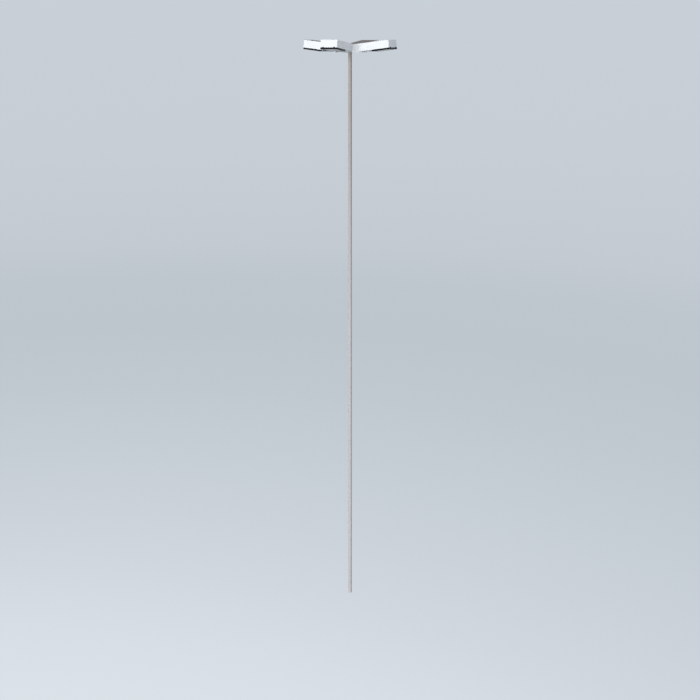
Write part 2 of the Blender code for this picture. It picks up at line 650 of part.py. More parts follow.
def head_meshes():
    """The pieces of one head: their meshes, which all four heads share, and their looks."""
    white = material("housing_paint", (0.86, 0.88, 0.90), 0.35, 0.1)
    dark = material("cover_anodised", (0.16, 0.145, 0.14), 0.55, 0.6)
    black = material("door_paint", (0.012, 0.012, 0.013), 0.35)
    glass = material("lens_glass", (0.80, 0.84, 0.86), 0.08, 0.0, 0.85)
    rubber = material("gasket_rubber", (0.02, 0.02, 0.02), 0.8)
    bright = material("reflector_aluminium", (0.88, 0.88, 0.88), 0.18, 1.0)
    lamp_glass = material("lamp_glass", (0.90, 0.90, 0.88), 0.2)
    gear = material("ballast_steel", (0.10, 0.10, 0.11), 0.5, 0.5)
    zinc = material("zinc_steel", (0.62, 0.63, 0.64), 0.35, 1.0)
    fixed = {
        "housing": (housing(), white),
        "top_cover": (top_cover(), dark),
        "reflector": (reflector(), bright),
        "lamp": (lamp(), lamp_glass),
        "ballast": (ballast(), gear),
        "hinge_pin": (hinge_pin(), zinc),
        "tilt_yoke": (tilt_yoke(), zinc),
        "pivot_bolt": (pivot_bolt(), zinc),
    }
    on_door = {
        "door_frame": (door_frame(), black),
        "lens": (lens(), glass),
        "lens_gasket": (lens_gasket(), rubber),
    }
    latches = {"latch_a": (latch(1), black, LATCH_Y), "latch_b": (latch(-1), black, -LATCH_Y)}
    return fixed, on_door, latches


def head(side, heading, fixed, on_door, latches):
    """One head on its two axes: the tilt pivot and, below the housing, the door's hinge."""
    turn = math.radians(heading)
    pivot_place = Vector((PIVOT_REACH * math.cos(turn), PIVOT_REACH * math.sin(turn), PIVOT_HEIGHT))
    pivot = empty(side + "_tilt_axis", pivot_place, rotation=(0, -TILT, turn))
    hinge = empty(side + "_door_axis", (HINGE_X - PIVOT_X, 0, HINGE_Z), pivot)
    for name, (mesh, look) in fixed.items():
        piece(f"{side}_{name}", mesh, look, pivot, (-PIVOT_X, 0, 0))
    for name, (mesh, look) in on_door.items():
        piece(f"{side}_{name}", mesh, look, hinge, (-HINGE_X, 0, -HINGE_Z))
    for name, (mesh, look, y) in latches.items():
        piece(f"{side}_{name}", mesh, look, hinge, (HEAD_OUTER - HINGE_X, y, LATCH_Z - HINGE_Z))


def main():
    for old in list(bpy.data.objects):
        bpy.data.objects.remove(old)
    pole_paint = material("pole_paint", (0.47, 0.45, 0.45), 0.45, 0.2)
    white = material("canopy_paint", (0.86, 0.88, 0.90), 0.35, 0.1)
    cast = material("hub_aluminium", (0.60, 0.61, 0.62), 0.5, 1.0)
    plastic = material("cable_plastic", (0.03, 0.03, 0.035), 0.6)
    steel = material("stainless_steel", (0.65, 0.65, 0.66), 0.3, 1.0)
    piece("pole_shaft", pole_shaft(), pole_paint)
    piece("handhole_cover", handhole_cover(), pole_paint)
    piece("handhole_screw", handhole_screw(), steel)
    piece("fuse_holder", fuse_holder(), plastic)
    riser_cable(plastic)
    piece("hub_casting", hub_casting(), cast)
    piece("canopy", canopy(), white)
    piece("canopy_cap", canopy_cap(), white)
    pieces = head_meshes()
    for side, heading in HEADINGS.items():
        head(side, heading, *pieces)


main()
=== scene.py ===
"""The looks of a parking-area light: a square pole with four tilted shoebox luminaires in a cross."""

import json
import math

import bmesh
import bpy
from mathutils import Matrix, Vector


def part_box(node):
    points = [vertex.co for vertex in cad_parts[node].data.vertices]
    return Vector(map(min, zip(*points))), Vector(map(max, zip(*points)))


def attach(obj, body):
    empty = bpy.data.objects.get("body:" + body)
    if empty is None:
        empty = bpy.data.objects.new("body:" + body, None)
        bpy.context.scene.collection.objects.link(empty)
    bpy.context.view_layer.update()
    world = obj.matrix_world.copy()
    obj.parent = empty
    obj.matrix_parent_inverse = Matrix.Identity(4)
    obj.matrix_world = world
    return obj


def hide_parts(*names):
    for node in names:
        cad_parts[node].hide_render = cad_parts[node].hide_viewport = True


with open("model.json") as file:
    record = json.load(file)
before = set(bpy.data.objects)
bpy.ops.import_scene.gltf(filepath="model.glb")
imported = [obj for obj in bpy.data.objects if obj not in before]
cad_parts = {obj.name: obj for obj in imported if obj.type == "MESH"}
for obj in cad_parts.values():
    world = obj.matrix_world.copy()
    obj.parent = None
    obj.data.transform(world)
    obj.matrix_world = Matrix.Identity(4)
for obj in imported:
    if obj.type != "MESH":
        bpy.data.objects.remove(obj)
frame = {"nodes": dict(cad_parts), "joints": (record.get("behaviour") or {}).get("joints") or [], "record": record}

NODES = frame["nodes"]
JOINTS = {joint["name"]: joint for joint in frame["joints"]}
SLOTS = {part["node"]: part["material_slot"] for part in frame["record"]["subparts"]}
BODIES = {node: body for body, nodes in frame["record"]["behaviour"]["bodies"].items() for node in nodes}
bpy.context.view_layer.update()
SIDES = ("right", "back", "left", "front")
POLE_HIGH = Vector(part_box("pole_shaft")[1])
POLE_HEIGHT = POLE_HIGH.z
POLE_HALF = POLE_HIGH.x


def head_frame(side):
    """One head's frame: x runs out along it from the pole's axis, y lies across it, z is square to both."""
    pivot = Vector(JOINTS[side + "_tilt"]["pos_m"])
    x = Vector(JOINTS[side + "_latch_a_turn"]["axis"])
    y = -Vector(JOINTS[side + "_tilt"]["axis"])
    origin = pivot - x * (pivot.xy.length / x.xy.length)
    turn = Matrix((x, y, x.cross(y))).transposed().to_4x4()
    return Matrix.Translation(origin) @ turn


HEAD_FRAMES = {side: head_frame(side) for side in SIDES}


def span(part):
    """The lowest and highest corners of one head's part, in the head's frame."""
    to_head = HEAD_FRAMES["right"].inverted()
    points = [to_head @ vertex.co for vertex in NODES["right_" + part].data.vertices]
    return [Vector(pick(point[axis] for point in points) for axis in range(3)) for pick in (min, max)]


# Camera: far off at the height of the heads, turned to one side of the front head, and aimed a little down

VIEW_AZIMUTH = math.radians(26.3)
VIEW_DISTANCE = 50
VIEW_HEIGHT = 9.265
VIEW_PITCH = math.radians(5.843)
VIEW_LENS = 152.98  # with the sensor's width, in millimetres
SENSOR = 36.0
VIEW_REACH = 1000
ASIDE = Vector((math.cos(VIEW_AZIMUTH), math.sin(VIEW_AZIMUTH), 0))
TOWARD_VIEWER = Vector((math.sin(VIEW_AZIMUTH), -math.cos(VIEW_AZIMUTH), 0))


def add_camera():
    """A camera that sees the whole pole, with its heads near the top of the picture."""
    data = bpy.data.cameras.new("camera")
    data.sensor_width = SENSOR
    data.lens = VIEW_LENS
    data.clip_end = VIEW_REACH
    camera = bpy.data.objects.new("camera", data)
    bpy.context.scene.collection.objects.link(camera)
    camera.location = TOWARD_VIEWER * VIEW_DISTANCE + Vector((0, 0, VIEW_HEIGHT))
    camera.rotation_euler = (math.pi / 2 - VIEW_PITCH, 0, VIEW_AZIMUTH)
    bpy.context.scene.camera = camera


# Node helpers

def srgb(red, green, blue):
    """A colour given in bytes, as linear light."""
    def linear(value):
        value /= 255
        return value / 12.92 if value <= 0.04045 else ((value + 0.055) / 1.055) ** 2.4
    return (linear(red), linear(green), linear(blue), 1.0)


class Tree:
    """A short way to write a node tree: tree.add(type, socket values) and links by passing sockets."""

    def __init__(self, owner):
        owner.use_nodes = True
        self.tree = owner.node_tree
        self.tree.nodes.clear()

    def add(self, kind, inputs=None, **settings):
        made = self.tree.nodes.new(kind)
        for key, value in settings.items():
            setattr(made, key, value)
        for key, value in (inputs or {}).items():
            if isinstance(value, bpy.types.NodeSocket):
                self.tree.links.new(value, made.inputs[key])
            else:
                made.inputs[key].default_value = value
        return made

    def noise(self, where, scale, detail=3.0, roughness=0.55):
        made = self.add("ShaderNodeTexNoise", {"Vector": where, "Scale": scale, "Detail": detail,
                                               "Roughness": roughness})
        return made.outputs["Fac"]

    def ramp(self, factor, stops):
        """A colour ramp with (position, colour) stops."""
        made = self.add("ShaderNodeValToRGB", {"Fac": factor})
        elements = made.color_ramp.elements
        while len(elements) < len(stops):
            elements.new(0.5)
        for element, (position, colour) in zip(elements, stops):
            element.position = position
            element.color = colour
        return made.outputs["Color"]

    def level(self, factor, low, high, out_low=0.0, out_high=1.0):
        made = self.add("ShaderNodeMapRange", {"Value": factor, "From Min": low, "From Max": high,
                                               "To Min": out_low, "To Max": out_high})
        return made.outputs["Result"]

    def maths(self, operation, first, second=0.0):
        made = self.add("ShaderNodeMath", {0: first, 1: second}, operation=operation)
        return made.outputs["Value"]

    def vector(self, operation, first, second=(0, 0, 0)):
        return self.add("ShaderNodeVectorMath", {0: first, 1: second}, operation=operation)

    def mix(self, factor, first, second):
        made = self.add("ShaderNodeMix", {"Factor": factor}, data_type="RGBA")
        for index, value in ((6, first), (7, second)):
            if isinstance(value, bpy.types.NodeSocket):
                self.tree.links.new(value, made.inputs[index])
            else:
                made.inputs[index].default_value = value
        return made.outputs[2]

    def position(self):
        return self.add("ShaderNodeTexCoord").outputs["Object"]

    def stretched(self, where, scale):
        made = self.add("ShaderNodeMapping", {"Vector": where, "Scale": scale})
        return made.outputs["Vector"]

    def bump(self, height, strength, distance, normal=None):
        inputs = {"Height": height, "Strength": strength, "Distance": distance}
        if normal:
            inputs["Normal"] = normal
        return self.add("ShaderNodeBump", inputs).outputs["Normal"]

    def surface(self, **inputs):
        shader = self.add("ShaderNodeBsdfPrincipled", inputs)
        self.add("ShaderNodeOutputMaterial", {"Surface": shader.outputs["BSDF"]})
        return shader


def new_material(name):
    made = bpy.data.materials.new(name)
    return made, Tree(made)


def shade(colour, factor):
    return tuple(min(1.0, value * factor) for value in colour[:3]) + (1.0,)


# Materials

def painted(name, colour, roughness, dirt, dirt_amount, streaks=True, coat=0.25, gloss=0.5):
    """Sprayed paint on metal: orange peel, faint mottling, and dust that rain has drawn into streaks."""
    made, tree = new_material(name)
    where = tree.position()
    mottle = tree.noise(where, 9.0, 4.0)
    base = tree.mix(tree.level(mottle, 0.3, 0.7), shade(colour, 0.975), shade(colour, 1.02))
    grime = tree.noise(where, 22.0, 6.0, 0.65)
    if streaks:
        drawn = tree.noise(tree.stretched(where, (60.0, 60.0, 3.0)), 1.0, 4.0)
        grime = tree.maths("MULTIPLY", grime, drawn)
        spread = tree.level(grime, 0.24, 0.42)
    else:
        spread = tree.level(grime, 0.45, 0.75)
    amount = tree.maths("MULTIPLY", spread, dirt_amount)
    base = tree.mix(amount, base, dirt)
    rough = tree.level(amount, 0.0, 0.5, roughness, min(1.0, roughness + 0.25))
    peel = tree.noise(where, 520.0, 2.0, 0.4)
    broad = tree.noise(where, 60.0, 2.0, 0.5)
    normal = tree.bump(peel, 0.10, 0.0006)
    normal = tree.bump(broad, 0.05, 0.001, normal)
    tree.surface(**{"Base Color": base, "Roughness": rough, "Normal": normal, "Coat Weight": coat,
                    "Coat Roughness": 0.15, "Metallic": 0.0, "Specular IOR Level": gloss})
    return made


def pole_paint():
    """Warm grey paint, darker toward the top with painted shade under the heads and paler toward the foot, chalked
    by weather and chipped low down.
    """
    made, tree = new_material("pole_paint")
    where = tree.position()
    height = tree.add("ShaderNodeSeparateXYZ", {"Vector": where}).outputs["Z"]
    # The ramp by height paints shade: darker toward the top under the heads, with its last stop lighter as painted
    # light against their cast shadow.
    colour = tree.ramp(tree.level(height, 0.0, POLE_HEIGHT),
                       [(0.0, POLE_FOOT), (0.5, shade(POLE_FOOT, 0.98)), (0.72, POLE_MIDDLE),
                        (0.9, shade(POLE_TOP_SHADED, 0.96)), (0.96, POLE_TOP_SHADED), (1.0, shade(POLE_TOP_SHADED, 1.08))])
    chalk = tree.noise(tree.stretched(where, (40.0, 40.0, 2.2)), 1.0, 5.0)
    colour = tree.mix(tree.level(chalk, 0.40, 0.80, 0.0, 0.30), colour, shade(POLE_FOOT, 1.05))
    rings = tree.noise(tree.stretched(where, (3.0, 3.0, 14.0)), 1.0, 3.0)
    colour = tree.mix(tree.level(rings, 0.58, 0.85, 0.0, 0.20), colour, shade(POLE_TOP_SHADED, 0.8))
    low = tree.level(height, CHIPPED_HEIGHT, 0.0)
    chips = tree.noise(where, 130.0, 3.0, 0.7)
    chipped = tree.maths("MULTIPLY", tree.level(chips, 0.66, 0.69), low)
    colour = tree.mix(chipped, colour, RUST)
    rough = tree.level(chalk, 0.3, 0.8, 0.45, 0.65)
    peel = tree.noise(where, 480.0, 2.0, 0.4)
    normal = tree.bump(peel, 0.12, 0.0006)
    normal = tree.bump(chipped, 0.4, -0.0004, normal)
    tree.surface(**{"Base Color": colour, "Roughness": rough, "Normal": normal, "Metallic": 0.0,
                    "Specular IOR Level": 0.3})
    return made


def shaded_weathered_cover():
    """Dark plate whose tone is painted shade on the head's top, with a film of dust, paler where water has stood
    and dried.
    """
    made, tree = new_material("cover_anodised")
    where = tree.position()
    cloud = tree.noise(where, 8.0, 5.0)
    base = tree.mix(tree.level(cloud, 0.25, 0.75), shade(COVER_SHADE_TONE, 0.85), shade(COVER_SHADE_TONE, 1.15))
    dust = tree.noise(where, 14.0, 6.0, 0.7)
    film = tree.level(dust, 0.45, 0.75, 0.0, 0.30)
    base = tree.mix(film, base, DUST)
    rings = tree.add("ShaderNodeTexVoronoi", {"Vector": where, "Scale": 30.0, "Randomness": 1.0},
                     feature="DISTANCE_TO_EDGE").outputs["Distance"]
    spots = tree.level(rings, 0.02, 0.0, 0.0, 0.08)
    base = tree.mix(spots, base, DUST)
    rough = tree.level(film, 0.0, 0.3, 0.40, 0.70)
    grain = tree.noise(where, 900.0, 2.0)
    tree.surface(**{"Base Color": base, "Roughness": rough, "Metallic": 0.2,
                    "Normal": tree.bump(grain, 0.08, 0.0003)})
    return made


def bare_metal(name, colour, roughness, scratch=0.15, cast=False):
    """Plated, drawn or cast metal with fine marks."""
    made, tree = new_material(name)
    where = tree.position()
    cloud = tree.noise(where, 35.0, 5.0)
    base = tree.mix(tree.level(cloud, 0.3, 0.7), shade(colour, 0.86), shade(colour, 1.05))
    scale = 260.0 if cast else 700.0
    marks = tree.noise(tree.stretched(where, (1.0, 1.0, 1.0) if cast else (1.0, 0.15, 1.0)), scale, 3.0, 0.6)
    rough = tree.level(cloud, 0.3, 0.7, roughness, roughness + 0.12)
    tree.surface(**{"Base Color": base, "Roughness": rough, "Metallic": 1.0,
                    "Normal": tree.bump(marks, scratch, 0.0006 if cast else 0.0002)})
    return made


def reflector_metal():
    """Bright anodised sheet with a hammered face."""
    made, tree = new_material("reflector_aluminium")
    where = tree.position()
    dimple = tree.add("ShaderNodeTexVoronoi", {"Vector": where, "Scale": 160.0, "Randomness": 0.7},
                      feature="SMOOTH_F1").outputs["Distance"]
    haze = tree.noise(where, 20.0, 4.0)
    tree.surface(**{"Base Color": srgb(232, 234, 236), "Metallic": 1.0,
                    "Roughness": tree.level(haze, 0.3, 0.7, 0.18, 0.30),
                    "Normal": tree.bump(dimple, 0.30, 0.0010)})
    return made


def clear_glass(name, colour, ior, film):
    """Glass with a little dust on it."""
    made, tree = new_material(name)
    where = tree.position()
    dust = tree.noise(where, 40.0, 6.0, 0.7)
    tree.surface(**{"Base Color": colour, "Roughness": tree.level(dust, 0.40, 0.75, 0.02, film),
                    "Transmission Weight": 1.0, "IOR": ior})
    return made


def smooth_solid(name, colour, roughness, speckle=0.1, coat=0.0):
    """Rubber, plastic or porcelain: one colour with slight cloudiness and a fine skin."""
    made, tree = new_material(name)
    where = tree.position()
    cloud = tree.noise(where, 60.0, 4.0)
    base = tree.mix(tree.level(cloud, 0.3, 0.7), shade(colour, 1 - speckle), shade(colour, 1 + speckle))
    skin = tree.noise(where, 900.0, 2.0)
    tree.surface(**{"Base Color": base, "Roughness": tree.level(cloud, 0.3, 0.7, roughness, roughness + 0.08),
                    "Normal": tree.bump(skin, 0.08, 0.0002), "Coat Weight": coat, "Coat Roughness": 0.08})
    return made


WHITE = srgb(233, 236, 239)
BLACK = srgb(8, 8, 9)
# The top cover's dark tone is painted shade on the heads' tops.
COVER_SHADE_TONE = srgb(110, 102, 98)
DUST = srgb(160, 154, 148)
RUST = srgb(120, 96, 80)
HOUSING_DIRT = srgb(176, 170, 160)
DOOR_DIRT = srgb(60, 58, 56)
BALLAST_DIRT = srgb(110, 100, 90)
# The pole's colour at its top holds painted shade from the heads above it.
POLE_TOP_SHADED = srgb(166, 158, 154)
POLE_MIDDLE = srgb(174, 169, 169)
POLE_FOOT = srgb(185, 182, 185)
CHIPPED_HEIGHT = 0.9  # below this the pole's paint is chipped

MATERIALS = {
    "housing_paint": painted("housing_paint", WHITE, 0.38, HOUSING_DIRT, 0.12, coat=0.10, gloss=0.3),
    "pole_paint": pole_paint(),
    "cover_anodised": shaded_weathered_cover(),
    "door_paint": painted("door_paint", BLACK, 0.28, DOOR_DIRT, 0.03, coat=0.0, gloss=0.2),
    "lens_glass": clear_glass("lens_glass", srgb(228, 236, 236), 1.5, 0.20),
    "gasket_rubber": smooth_solid("gasket_rubber", srgb(30, 30, 31), 0.75),
    "reflector_aluminium": reflector_metal(),
    "lamp_glass": clear_glass("lamp_glass", srgb(246, 248, 246), 1.47, 0.08),
    "ballast_steel": painted("ballast_steel", srgb(70, 70, 74), 0.45, BALLAST_DIRT, 0.2, streaks=False),
    "zinc_steel": bare_metal("zinc_steel", srgb(196, 198, 200), 0.30),
    "hub_aluminium": bare_metal("hub_aluminium", srgb(186, 188, 190), 0.48, 0.35, cast=True),
    "cable_plastic": smooth_solid("cable_plastic", srgb(36, 36, 38), 0.55),
    "stainless_steel": bare_metal("stainless_steel", srgb(205, 206, 208), 0.26),
}
PORCELAIN = smooth_solid("porcelain", srgb(236, 232, 224), 0.18, speckle=0.03, coat=0.6)
LAMP_BASE_METAL = bare_metal("lamp_base_nickel", srgb(206, 196, 170), 0.24)
MOLYBDENUM = bare_metal("arc_tube_ends", srgb(150, 150, 152), 0.35)


def dress(node):
    """Gives a CAD node the finish of its slot."""
    mesh = NODES[node].data
    mesh.materials.clear()
    mesh.materials.append(MATERIALS[SLOTS[node]])


# Stage and light

GLOW_STRETCH = 3.70  # how much longer the glow is along the view than across it
GLOW_AHEAD, GLOW_ASIDE = 15.2, 5.6  # from the pole to the glow's centre on the floor, before the stretch
GLOW_CENTRE = TOWARD_VIEWER * GLOW_AHEAD * GLOW_STRETCH - ASIDE * GLOW_ASIDE
STAGE_RADIUS = 200.0
STAGE_SIDES = 128
WALL_HEIGHT = 45.0
WALL_PALE_HEIGHT = 10.0
WALL_GREY = srgb(200, 207, 215)
WALL_TOP_GREY = srgb(203, 210, 218)
FLOOR_SHADES = [(11.0, (225, 231, 237)), (14.3, (215, 222, 229)), (16.0, (208, 215, 223)),
                (17.7, (203, 210, 218)), (20.2, (197, 205, 213)), (23.6, (192, 200, 208)),
                (28.0, (189, 197, 205)), (33.8, (190, 198, 206)), (39.4, (195, 202, 210)),
                (49.5, (197, 204, 212)), (72.0, (199, 206, 214))]  # grey at a distance from the glow's centre
NEAR_GLOW, FAR_GLOW = FLOOR_SHADES[0][0], FLOOR_SHADES[-1][0]


def stage_glow():
    """A softly glowing surface: its grey follows the distance to the glow's centre, and pales up the wall."""
    made, tree = new_material("stage_glow")
    where = tree.add("ShaderNodeNewGeometry").outputs["Position"]
    offset = tree.vector("SUBTRACT", where, GLOW_CENTRE).outputs["Vector"]
    across = tree.vector("DOT_PRODUCT", offset, ASIDE).outputs["Value"]
    along = tree.vector("DOT_PRODUCT", offset, TOWARD_VIEWER / GLOW_STRETCH).outputs["Value"]
    place = tree.add("ShaderNodeCombineXYZ", {"X": across, "Y": along}).outputs["Vector"]
    away = tree.vector("LENGTH", place).outputs["Value"]
    reach = FAR_GLOW - NEAR_GLOW
    stops = [((distance - NEAR_GLOW) / reach, srgb(*grey)) for distance, grey in FLOOR_SHADES]
    shades = tree.ramp(tree.level(away, NEAR_GLOW, FAR_GLOW), stops)
    height = tree.add("ShaderNodeSeparateXYZ", {"Vector": where}).outputs["Z"]
    pale = tree.mix(tree.level(height, WALL_PALE_HEIGHT, WALL_HEIGHT), WALL_GREY, WALL_TOP_GREY)
    rise = tree.level(height, 0.0, WALL_PALE_HEIGHT)
    glow = tree.add("ShaderNodeEmission", {"Color": tree.mix(rise, shades, pale), "Strength": 1.0})
    tree.add("ShaderNodeOutputMaterial", {"Surface": glow.outputs["Emission"]})
    return made


def add_stage():
    """A round pale floor and the wall about it, whose shades meet at the floor's edge."""
    look = stage_glow()
    bm = bmesh.new()
    bmesh.ops.create_circle(bm, cap_ends=True, radius=STAGE_RADIUS, segments=STAGE_SIDES)
    floor = object_from(bm, "floor", look)
    bm = bmesh.new()
    bmesh.ops.create_cone(bm, cap_ends=False, radius1=STAGE_RADIUS, radius2=STAGE_RADIUS, depth=WALL_HEIGHT,
                          segments=STAGE_SIDES, matrix=Matrix.Translation((0, 0, WALL_HEIGHT / 2)))
    wall = object_from(bm, "backdrop", look)
    for made in (floor, wall):
        made.visible_shadow = False
        made.visible_diffuse = False


AMBIENT = 0.93
AMBIENT_BELOW = 0.44
AMBIENT_GREY = srgb(206, 211, 217)
AMBIENT_FADE = (0.1, -0.5)  # the heights on the unit sphere between which the ambient light fades downward
KEY_POWER = 2.2
KEY_AIM = (0.08, 1.0, -0.10)
KEY_ANGLE = math.radians(25)
KEY_COLOUR = (1.0, 0.99, 0.975)
FILL_POWER = 24.0
FILL_HEIGHT = 7.2
FOOT_POWER = 3.0
FILL_AIM = (-1.0, 0.2, 0)


def add_light(name, kind, energy, place, aim, size, colour=(1, 1, 1)):
    """A lamp that shines along aim; size is a sun's angle or an area lamp's sides."""
    data = bpy.data.lights.new(name, kind)
    data.energy = energy
    data.color = colour
    if kind == "SUN":
        data.angle = size
    else:
        data.shape = "RECTANGLE"
        data.size, data.size_y = size
    light = bpy.data.objects.new(name, data)
    bpy.context.scene.collection.objects.link(light)
    light.location = place
    light.rotation_euler = Vector(aim).to_track_quat("-Z", "Y").to_euler()
    light.visible_camera = False
    light.visible_glossy = False
    return light


def add_lights():
    """Even light from above and about, a broad key from the front, and two soft fills to the pole's right."""
    world = bpy.data.worlds.new("sky")
    bpy.context.scene.world = world
    tree = Tree(world)
    direction = tree.add("ShaderNodeTexCoord").outputs["Generated"]
    up = tree.add("ShaderNodeSeparateXYZ", {"Vector": direction}).outputs["Z"]
    strength = tree.level(up, *AMBIENT_FADE, AMBIENT, AMBIENT_BELOW)
    glow = tree.add("ShaderNodeBackground", {"Color": AMBIENT_GREY, "Strength": strength})
    tree.add("ShaderNodeOutputWorld", {"Surface": glow.outputs["Background"]})
    add_light("key", "SUN", KEY_POWER, (0, -20, 20), KEY_AIM, KEY_ANGLE, KEY_COLOUR)
    add_light("fill", "AREA", FILL_POWER, (3.5, -0.8, FILL_HEIGHT / 2), FILL_AIM, (1.0, FILL_HEIGHT))
    add_light("foot_fill", "AREA", FOOT_POWER, (1.5, -0.3, 0.3), FILL_AIM, (0.8, 0.8))


# Mesh helpers

ALONG_X = Matrix.Identity(4)
ALONG_Y = Matrix.Rotation(math.pi / 2, 4, "Z")
ALONG_Z = Matrix.Rotation(-math.pi / 2, 4, "Y")
SHARP = math.radians(35)  # an edge that turns further than this stays sharp
WELD = 1e-6  # points nearer than this are joined
THINNEST = 0.00002  # the radius given to a point on the axis


def at(x, y, z, turn=ALONG_X):
    return Matrix.Translation((x, y, z)) @ turn


class Shape:
    """A mesh in the making, from closed solids that are added one by one."""

    def __init__(self):
        self.bm = bmesh.new()

    def loft(self, rings, capped=True):
        """A skin over rings of equally many points, closed at both ends."""
        rows = [[self.bm.verts.new(point) for point in ring] for ring in rings]
        count = len(rows[0])
        for low, high in zip(rows, rows[1:]):
            for i in range(count):
                j = (i + 1) % count
                self.bm.faces.new((low[i], low[j], high[j], high[i]))
        if capped:
            self.bm.faces.new(rows[0])
            self.bm.faces.new(rows[-1])
        return self

    def turned(self, profile, place=ALONG_X, sides=24):
        """A solid about the x axis from (x, radius) points; a third value makes that ring a polygon."""
        rings = []
        for x, radius, *flats in profile:
            ring = []
            for i in range(sides):
                angle = 2 * math.pi * i / sides
                reach = max(radius, THINNEST)
                if flats:
                    half = math.pi / flats[0]
                    reach *= math.cos(half) / math.cos(angle % (2 * half) - half)
                ring.append(place @ Vector((x, reach * math.cos(angle), reach * math.sin(angle))))
            rings.append(ring)
        return self.loft(rings)

    def box(self, low, high, edge=0.0, place=ALONG_X):
        """A block between two corners whose upright and top edges are rounded off."""
        rings = [(low[2], 0.0), (high[2] - edge, 0.0), (high[2] - edge * 0.3, edge * 0.3), (high[2], edge)]
        if not edge:
            rings = [(low[2], 0.0), (high[2], 0.0)]
        outlines = []
        for z, inset in rings:
            outline = rounded(low, high, max(edge, 0.0001), inset)
            outlines.append([place @ Vector((x, y, z)) for x, y in outline])
        return self.loft(outlines)

    def tube(self, points, radius, sides=10, closed=False):
        """A round wire or bar through points."""
        points = [Vector(point) for point in points]
        count = len(points)
        side = None
        rings = []
        for i, point in enumerate(points):
            before = points[i - 1] if closed or i else point
            after = points[(i + 1) % count] if closed or i < count - 1 else point
            ahead = (after - before).normalized()
            if side is None:
                side = ahead.orthogonal().normalized()
            side = (side - ahead * side.dot(ahead)).normalized()
            other = ahead.cross(side)
            angles = [2 * math.pi * k / sides for k in range(sides)]
            rings.append([point + (side * math.cos(a) + other * math.sin(a)) * radius for a in angles])
        if closed:
            rings.append(rings[0])
        return self.loft(rings, capped=not closed)

    def screw(self, place, radius, washer=True):
        """A button-head screw with a hexagon socket, along the x axis of place, on its washer."""
        if washer:
            self.turned([(0, radius * 0.5), (0, radius * 1.45), (radius * 0.16, radius * 1.5),
                         (radius * 0.26, radius * 1.4), (radius * 0.26, radius * 0.5)], place, 24)
        rise = radius * 0.26 if washer else 0.0
        self.turned([(rise, 0), (rise, radius * 0.94), (rise + radius * 0.12, radius),
                     (rise + radius * 0.40, radius * 0.86), (rise + radius * 0.56, radius * 0.62),
                     (rise + radius * 0.60, radius * 0.52, 6), (rise + radius * 0.18, radius * 0.50, 6),
                     (rise + radius * 0.14, 0)], place, 24)
        return self

    def rivet(self, place, radius):
        """A domed rivet head with its centre dimple."""
        return self.turned([(0, 0), (0, radius), (radius * 0.10, radius), (radius * 0.42, radius * 0.72),
                            (radius * 0.52, radius * 0.34), (radius * 0.44, radius * 0.28),
                            (radius * 0.30, radius * 0.10), (radius * 0.28, 0)], place, 20)

    def mesh(self, name):
        bmesh.ops.remove_doubles(self.bm, verts=self.bm.verts, dist=WELD)
        bmesh.ops.recalc_face_normals(self.bm, faces=self.bm.faces)
        made = bpy.data.meshes.new(name)
        self.bm.to_mesh(made)
        self.bm.free()
        made.shade_smooth()
        made.set_sharp_from_angle(angle=SHARP)
        return made


def rounded(low, high, radius, inset=0.0, steps=4):
    """The outline of a rectangle with round corners, set in from its corners low and high."""
    outline = []
    radius = max(radius - inset, 0.00005)
    corners = ((high[0], high[1]), (low[0], high[1]), (low[0], low[1]), (high[0], low[1]))
    middle = ((low[0] + high[0]) / 2, (low[1] + high[1]) / 2)
    for quarter, (x, y) in enumerate(corners):
        cx = x - math.copysign(inset + radius, x - middle[0])
        cy = y - math.copysign(inset + radius, y - middle[1])
        for step in range(steps + 1):
            angle = math.pi / 2 * (quarter + step / steps)
            outline.append((cx + radius * math.cos(angle), cy + radius * math.sin(angle)))
    return outline


def object_from(bm, name, look):
    mesh = bpy.data.meshes.new(name)
    bm.to_mesh(mesh)
    bm.free()
    mesh.materials.append(look)
    made = bpy.data.objects.new(name, mesh)
    bpy.context.scene.collection.objects.link(made)
    return made


def carved(mesh, cutters):
    """The mesh with the closed shapes of cutters taken out of it."""
    base = bpy.data.objects.new("base", mesh)
    bpy.context.scene.collection.objects.link(base)
    helpers = [base]
    for cutter in cutters:
        tool = bpy.data.objects.new("tool", cutter)
        bpy.context.scene.collection.objects.link(tool)
        helpers.append(tool)
        cut = base.modifiers.new("cut", "BOOLEAN")
        cut.operation = "DIFFERENCE"
        cut.solver = "EXACT"
        cut.object = tool
    graph = bpy.context.evaluated_depsgraph_get()
    result = bpy.data.meshes.new_from_object(base.evaluated_get(graph))
    for helper in helpers:
        bpy.data.objects.remove(helper)
    result.shade_smooth()
    result.set_sharp_from_angle(angle=SHARP)
    return result


def show(name, mesh, body, slot, node=None, look=None, place=None, bevel=0.0):
    """Puts a finished mesh in the scene: it rides on body, and stands for node if one is given."""
    mesh = mesh.copy()
    mesh.name = name
    if place:
        mesh.transform(place)
    mesh.materials.clear()
    mesh.materials.append(look or MATERIALS[slot])
    made = bpy.data.objects.new(name, mesh)
    bpy.context.scene.collection.objects.link(made)
    if bevel:
        add_bevel(made, bevel)
    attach(made, body)
    if node:
        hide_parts(node)
    return made


def add_bevel(made, width, segments=2):
    bevel = made.modifiers.new("soft_edges", "BEVEL")
    bevel.width = width
    bevel.segments = segments
    bevel.limit_method = "ANGLE"
    bevel.angle_limit = math.radians(30)
    bevel.harden_normals = True


def softened(node, width):
    """The CAD node's own shape with its edges rounded, in the node's place."""
    bm = bmesh.new()
    bm.from_mesh(NODES[node].data)
    bmesh.ops.remove_doubles(bm, verts=bm.verts, dist=WELD)
    bmesh.ops.dissolve_limit(bm, angle_limit=math.radians(0.5), verts=bm.verts, edges=bm.edges)
    mesh = bpy.data.meshes.new(node)
    bm.to_mesh(mesh)
    bm.free()
    mesh.shade_smooth()
    mesh.set_sharp_from_angle(angle=SHARP)
    return show(node + "_finished", mesh, BODIES[node], SLOTS[node], node, bevel=width)


# Head

